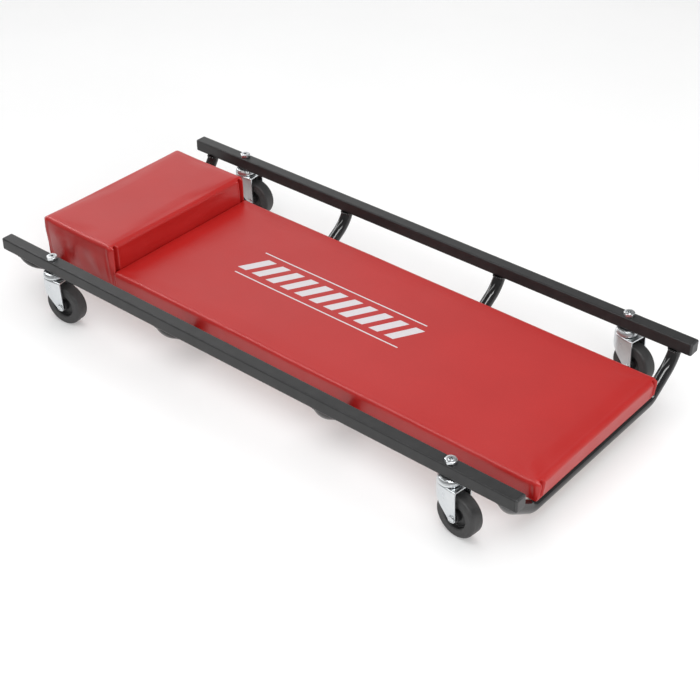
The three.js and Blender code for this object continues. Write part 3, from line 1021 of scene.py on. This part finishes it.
def ball_cage():
    circle = 11 * MM
    radius = 2.2 * MM
    height = CROWN_TOP + GAP + radius
    thin = 0.4 * MM
    half_turn = np.linspace(-math.pi / 2, math.pi / 2, 9)
    pieces = []
    for angle in turns(12):
        ball = lathe("ball", [(radius * math.cos(a), radius * math.sin(a)) for a in half_turn], 16)
        ball.data.transform(
            Matrix.Translation((circle * math.cos(angle), circle * math.sin(angle), height)))
        pieces.append(ball)
    ring = [
        (circle - thin, height - thin), (circle + thin, height - thin),
        (circle + thin, height + thin), (circle - thin, height + thin)]
    pieces.append(lathe("cage", ring, 48))
    return mesh_of(shade(joined("cage", pieces), 60))


def fork_outline(inset, tail):
    """The fork seen from above: a rounded nose and straight sides running back to the tail."""
    steps = 28
    nose = FORK_NOSE - inset
    half = FORK_HALF_WIDTH - inset
    outline = []
    for k in range(steps + 1):
        angle = math.pi / 2 + math.pi * k / steps
        outline.append((nose * math.cos(angle), half * math.sin(angle)))
    return [*outline, (tail, -half), (tail, half)]


def domed_prism(name, inset, tail, bottom, top, round_top):
    """The fork's outline as a solid with a rounded top edge."""
    rings = [[(x, y, bottom) for x, y in fork_outline(inset, tail)]]
    steps = 5
    for k in range(steps + 1):
        angle = math.pi / 2 * k / steps
        pull = round_top * (1 - math.cos(angle))
        z = top - round_top * (1 - math.sin(angle))
        rings.append([(x, y, z) for x, y in fork_outline(inset + pull, tail)])
    return loft(name, rings)


def fork_side():
    """The fork seen from the side, as a thick slab: it tapers down to a round end at the axle."""
    axle = Vector((TRAIL, WHEEL_RADIUS))
    tail = Vector((TRAIL + 3.2 * MM, CROWN_TOP + 2 * MM))
    nose = Vector((-FORK_NOSE - 1.5 * MM, NOSE_BOTTOM))
    to_nose = nose - axle
    to_tail = tail - axle
    first = math.atan2(to_nose.y, to_nose.x) + math.acos(AXLE_END_RADIUS / to_nose.length)
    last = math.atan2(to_tail.y, to_tail.x) - math.acos(AXLE_END_RADIUS / to_tail.length) + 2 * math.pi
    outline = [tail, Vector((nose.x, tail.y)), nose]
    steps = 24
    for k in range(steps + 1):
        angle = first + (last - first) * k / steps
        outline.append(axle + AXLE_END_RADIUS * Vector((math.cos(angle), math.sin(angle))))
    wide = 2 * FORK_HALF_WIDTH
    return loft("side", [[(x, y, z) for x, z in outline] for y in (-wide, wide)])


def fork():
    tail = TRAIL + 2 * AXLE_END_RADIUS
    body = domed_prism("fork", 0, tail, 0, CROWN_TOP, FORK_BEND)
    hollow = domed_prism(
        "hollow", SHEET, tail + TRAIL, -SHEET, CROWN_TOP - SHEET, max(FORK_BEND - SHEET, 0.4 * MM))
    carve(body, hollow)
    carve(body, fork_side(), operation="INTERSECT")
    stem_hole = upright("stem_hole", STEM_BORE, 0, 0, CROWN_TOP - 2 * SHEET, CROWN_TOP + SHEET, 40)
    axle_hole = upright("axle_hole", RIVET_RADIUS + 0.3 * MM, 0, 0, -40 * MM, 40 * MM, 32)
    axle_hole.data.transform(AXLE_PLACE)
    carve(body, stem_hole, axle_hole)
    tidy(body, 2e-6)
    return mesh_of(soften(body, 0.4 * MM, 50))


def axle_rivet():
    """Both heads and the shank: each head is low and dished, from being spun over."""
    head = FORK_HALF_WIDTH + GAP
    half = [
        (RIVET_RADIUS, head), (4.9 * MM, head), (4.8 * MM, head + 0.8 * MM), (4.0 * MM, head + 1.5 * MM),
        (2.9 * MM, head + 1.7 * MM), (2.3 * MM, head + 1.2 * MM), (0, head + 1.0 * MM)]
    other = [(radius, -height) for radius, height in reversed(half)]
    return mesh_of(shade(lathe("rivet", eased(other + half, 0.3 * MM, 2), 40), 50))


def axle_sleeve():
    half = FORK_HALF_WIDTH - SHEET - GAP
    bore = RIVET_RADIUS + GAP
    profile = [(bore, -half), (SLEEVE_RADIUS, -half), (SLEEVE_RADIUS, half), (bore, half)]
    return mesh_of(shade(lathe("sleeve", eased(profile, 0.25 * MM, 2), 40), 50))


def hub():
    """The moulded centre: a boss, a dished web, and a rim that lies deeper than the tyre's face."""
    boss_end = 11.2 * MM
    half = [
        (SLEEVE_RADIUS + 0.6 * MM, boss_end), (7.2 * MM, boss_end), (7.7 * MM, 4.4 * MM),
        (14.4 * MM, 3.6 * MM), (15.3 * MM, 5.2 * MM), (RIM_RADIUS - GAP, 5.4 * MM)]
    other = [(radius, -height) for radius, height in half]
    return mesh_of(shade(lathe("hub", eased(other + half[::-1], 0.6 * MM, 3), 64), 45))


def tyre():
    """A plain hard tyre: flat side rings, round shoulders and a thin mould line round the tread."""
    half = TYRE_WIDTH / 2
    side = half - 0.35 * MM
    tread = WHEEL_RADIUS - 0.15 * MM
    ring_inner = RIM_RADIUS + MM
    ring_outer = WHEEL_RADIUS - 4.2 * MM
    mould_line = 0.28 * MM
    right = [
        (RIM_RADIUS, half - 1.2 * MM), (ring_inner, side), (ring_inner + 0.5 * MM, half),
        (ring_outer, half), (ring_outer + 0.5 * MM, side)]
    shoulder = 3.6 * MM
    steps = 9
    for k in range(steps + 1):
        angle = math.pi / 2 * k / steps
        right.append((tread - shoulder * (1 - math.sin(angle)), side - shoulder * (1 - math.cos(angle))))
    right += [(tread, 2 * mould_line), (WHEEL_RADIUS, mould_line)]
    left = [(radius, -height) for radius, height in reversed(right)]
    return mesh_of(shade(lathe("tyre", right + left, 96), 30))


def caster_pieces():
    """The caster's pieces: name, mesh, body, finish, the CAD node it stands for, and where it is drawn."""
    return [
        ("locknut", stem_nut(), "frame", "zinc", "stem_nut", "stem"),
        ("stem", kingpin(), "frame", "zinc", "kingpin", "stem"),
        ("race_cap", top_race(), "frame", "zinc", "top_race", "stem"),
        ("ball_cage", ball_cage(), "swivel", "steel", "ball_ring", "swivel"),
        ("fork_shell", fork(), "swivel", "zinc", "fork", "swivel"),
        ("rivet", axle_rivet(), "swivel", "zinc", "axle_rivet", "axle"),
        ("sleeve", axle_sleeve(), "swivel", "steel", "axle_sleeve", "axle"),
        ("wheel_centre", hub(), "wheel", "hub_plastic", "hub", "axle"),
        ("wheel_tyre", tyre(), "wheel", "tyre_rubber", "tyre", "axle"),
    ]


def add_casters():
    pieces = caster_pieces()
    for caster in CASTERS:
        stem = joint_place(caster, "swivel_turn")
        trail = trail_of(caster)
        at_stem = Matrix.Translation((stem.x, stem.y, 0))
        turned = at_stem @ Matrix.Rotation(math.atan2(trail.y, trail.x), 4, "Z")
        places = {"stem": at_stem, "swivel": turned, "axle": turned @ AXLE_PLACE}
        for name, mesh, body, material, node, drawn_at in pieces:
            piece = piece_of(f"{caster}_{name}", mesh)
            piece.matrix_world = places[drawn_at]
            rides_on = body if body == "frame" else f"{caster}_{body}"
            place(piece, rides_on, material, replaces=[f"{caster}_{node}"])


# ---- assembly

def add_frame():
    for side in SIDES:
        rail(side)
        for end in ENDS:
            rail_cap(end, side)
    screw = board_screw()
    for number in TUBE_NUMBERS:
        cross_tube(number)
        beads = joined(f"weld_beads_{number}", [weld_bead(number, side) for side in SIDES])
        shade(beads, 60)
        place(beads, "frame", "tube_paint_shade_darkened")
        for side in SIDES:
            node = f"board_screw_{number}_{side}"
            spot = middle(node)
            piece = piece_of(f"pan_screw_{number}_{side}", screw)
            piece.matrix_world = Matrix.Translation((spot.x, spot.y, TUBE_LEVEL - TUBE_RADIUS - GAP))
            place(piece, "frame", "zinc", replaces=[node])


def add_padding():
    for node in ("base_board", "headrest_board"):
        board(node)
    pad("main_pad", main_low, main_high, joint_end=-1, folded_ends=(1,), tucked=3.5 * MM, slack=0.8 * MM,
        material="vinyl_printed", replaces=["main_cover", "main_foam"])
    pad("headrest_pad", head_low, head_high, joint_end=1, folded_ends=(-1, 1), tucked=4.8 * MM,
        slack=3 * MM, material="vinyl", replaces=["headrest_cover", "headrest_foam"])
    staples()


# ---- stage, light and camera

CAMERA_PLACE = (1.1302, -1.3191, 1.2222)
CAMERA_AZIMUTH = math.radians(39.79)
CAMERA_ELEVATION = math.radians(35.34)
CAMERA_LENS = 76.2


def add_stage():
    half = 8
    corners = [(-half, -half, 0), (half, -half, 0), (half, half, 0), (-half, half, 0)]
    floor = new_piece("floor", corners, [(0, 1, 2, 3)])
    floor.data.materials.append(pale_floor())


def add_camera():
    data = bpy.data.cameras.new("camera")
    data.lens = CAMERA_LENS
    data.sensor_width = 36
    camera = bpy.data.objects.new("camera", data)
    camera.location = CAMERA_PLACE
    camera.rotation_euler = (math.pi / 2 - CAMERA_ELEVATION, 0, CAMERA_AZIMUTH)
    bpy.context.scene.collection.objects.link(camera)
    bpy.context.scene.camera = camera


# Name, place, width, height and watts. The soft panels light the scene, and the strips only show
# mirrored in shiny surfaces.
SOFT_PANELS = [
    ("overhead", (0.1, 0.0, 2.6), 4.2, 4.2, 97),
    ("fill", (2.4, -1.3, 1.3), 1.6, 1.4, 34),
]
STRIPS = [
    ("strip_left", (-2.2, 0.1, 1.0), 0.3, 1.6, 14),
    ("strip_right", (1.9, 0.6, 1.2), 0.25, 1.6, 14),
    ("strip_over", (0.9, -0.3, 1.9), 0.3, 1.8, 26),
    ("strip_front", (-0.9, -1.0, 1.7), 2.4, 0.4, 16),
]


def add_panel(name, place_at, width, height, watts, mirrored):
    """A light panel turned to the creeper."""
    data = bpy.data.lights.new(name, "AREA")
    data.shape = "RECTANGLE"
    data.size = width
    data.size_y = height
    data.energy = watts
    panel = bpy.data.objects.new(name, data)
    panel.location = place_at
    panel.rotation_euler = (-Vector(place_at)).to_track_quat("-Z", "Y").to_euler()
    panel.visible_glossy = mirrored
    panel.visible_diffuse = not mirrored
    bpy.context.scene.collection.objects.link(panel)


def add_lights():
    for panel in SOFT_PANELS:
        add_panel(*panel, mirrored=False)
    for strip in STRIPS:
        add_panel(*strip, mirrored=True)


def add_world():
    """A pale studio: brightest low down behind the head end, and dimmer overhead."""
    world = bpy.data.worlds.new("studio")
    world.use_nodes = True
    tree = world.node_tree
    link = tree.links.new
    background = tree.nodes["Background"]
    direction = tree.nodes.new("ShaderNodeTexCoord").outputs["Generated"]

    def towards(point, low, high, value_low, value_high):
        """A strength that changes with how nearly a direction points at the given one."""
        dot = tree.nodes.new("ShaderNodeVectorMath")
        dot.operation = "DOT_PRODUCT"
        dot.inputs[1].default_value = Vector(point).normalized()
        link(direction, dot.inputs[0])
        spread = tree.nodes.new("ShaderNodeMapRange")
        spread.interpolation_type = "SMOOTHSTEP"
        spread.inputs["From Min"].default_value = low
        spread.inputs["From Max"].default_value = high
        spread.inputs["To Min"].default_value = value_low
        spread.inputs["To Max"].default_value = value_high
        link(dot.outputs["Value"], spread.inputs["Value"])
        return spread.outputs["Result"]

    back_left = towards((-0.80, 0.45, 0.40), 0.80, 0.985, 0.0, 1.0)
    base = towards((0, 0, 1), 0.1, 0.95, 0.34, 0.06)
    total = tree.nodes.new("ShaderNodeMath")
    total.operation = "ADD"
    link(back_left, total.inputs[0])
    link(base, total.inputs[1])
    link(total.outputs["Value"], background.inputs["Strength"])
    background.inputs["Color"].default_value = (1, 1, 1, 1)
    bpy.context.scene.world = world
    bpy.context.scene.view_settings.view_transform = "Standard"


add_camera()
add_stage()
add_lights()
add_world()
add_frame()
add_padding()
add_casters()
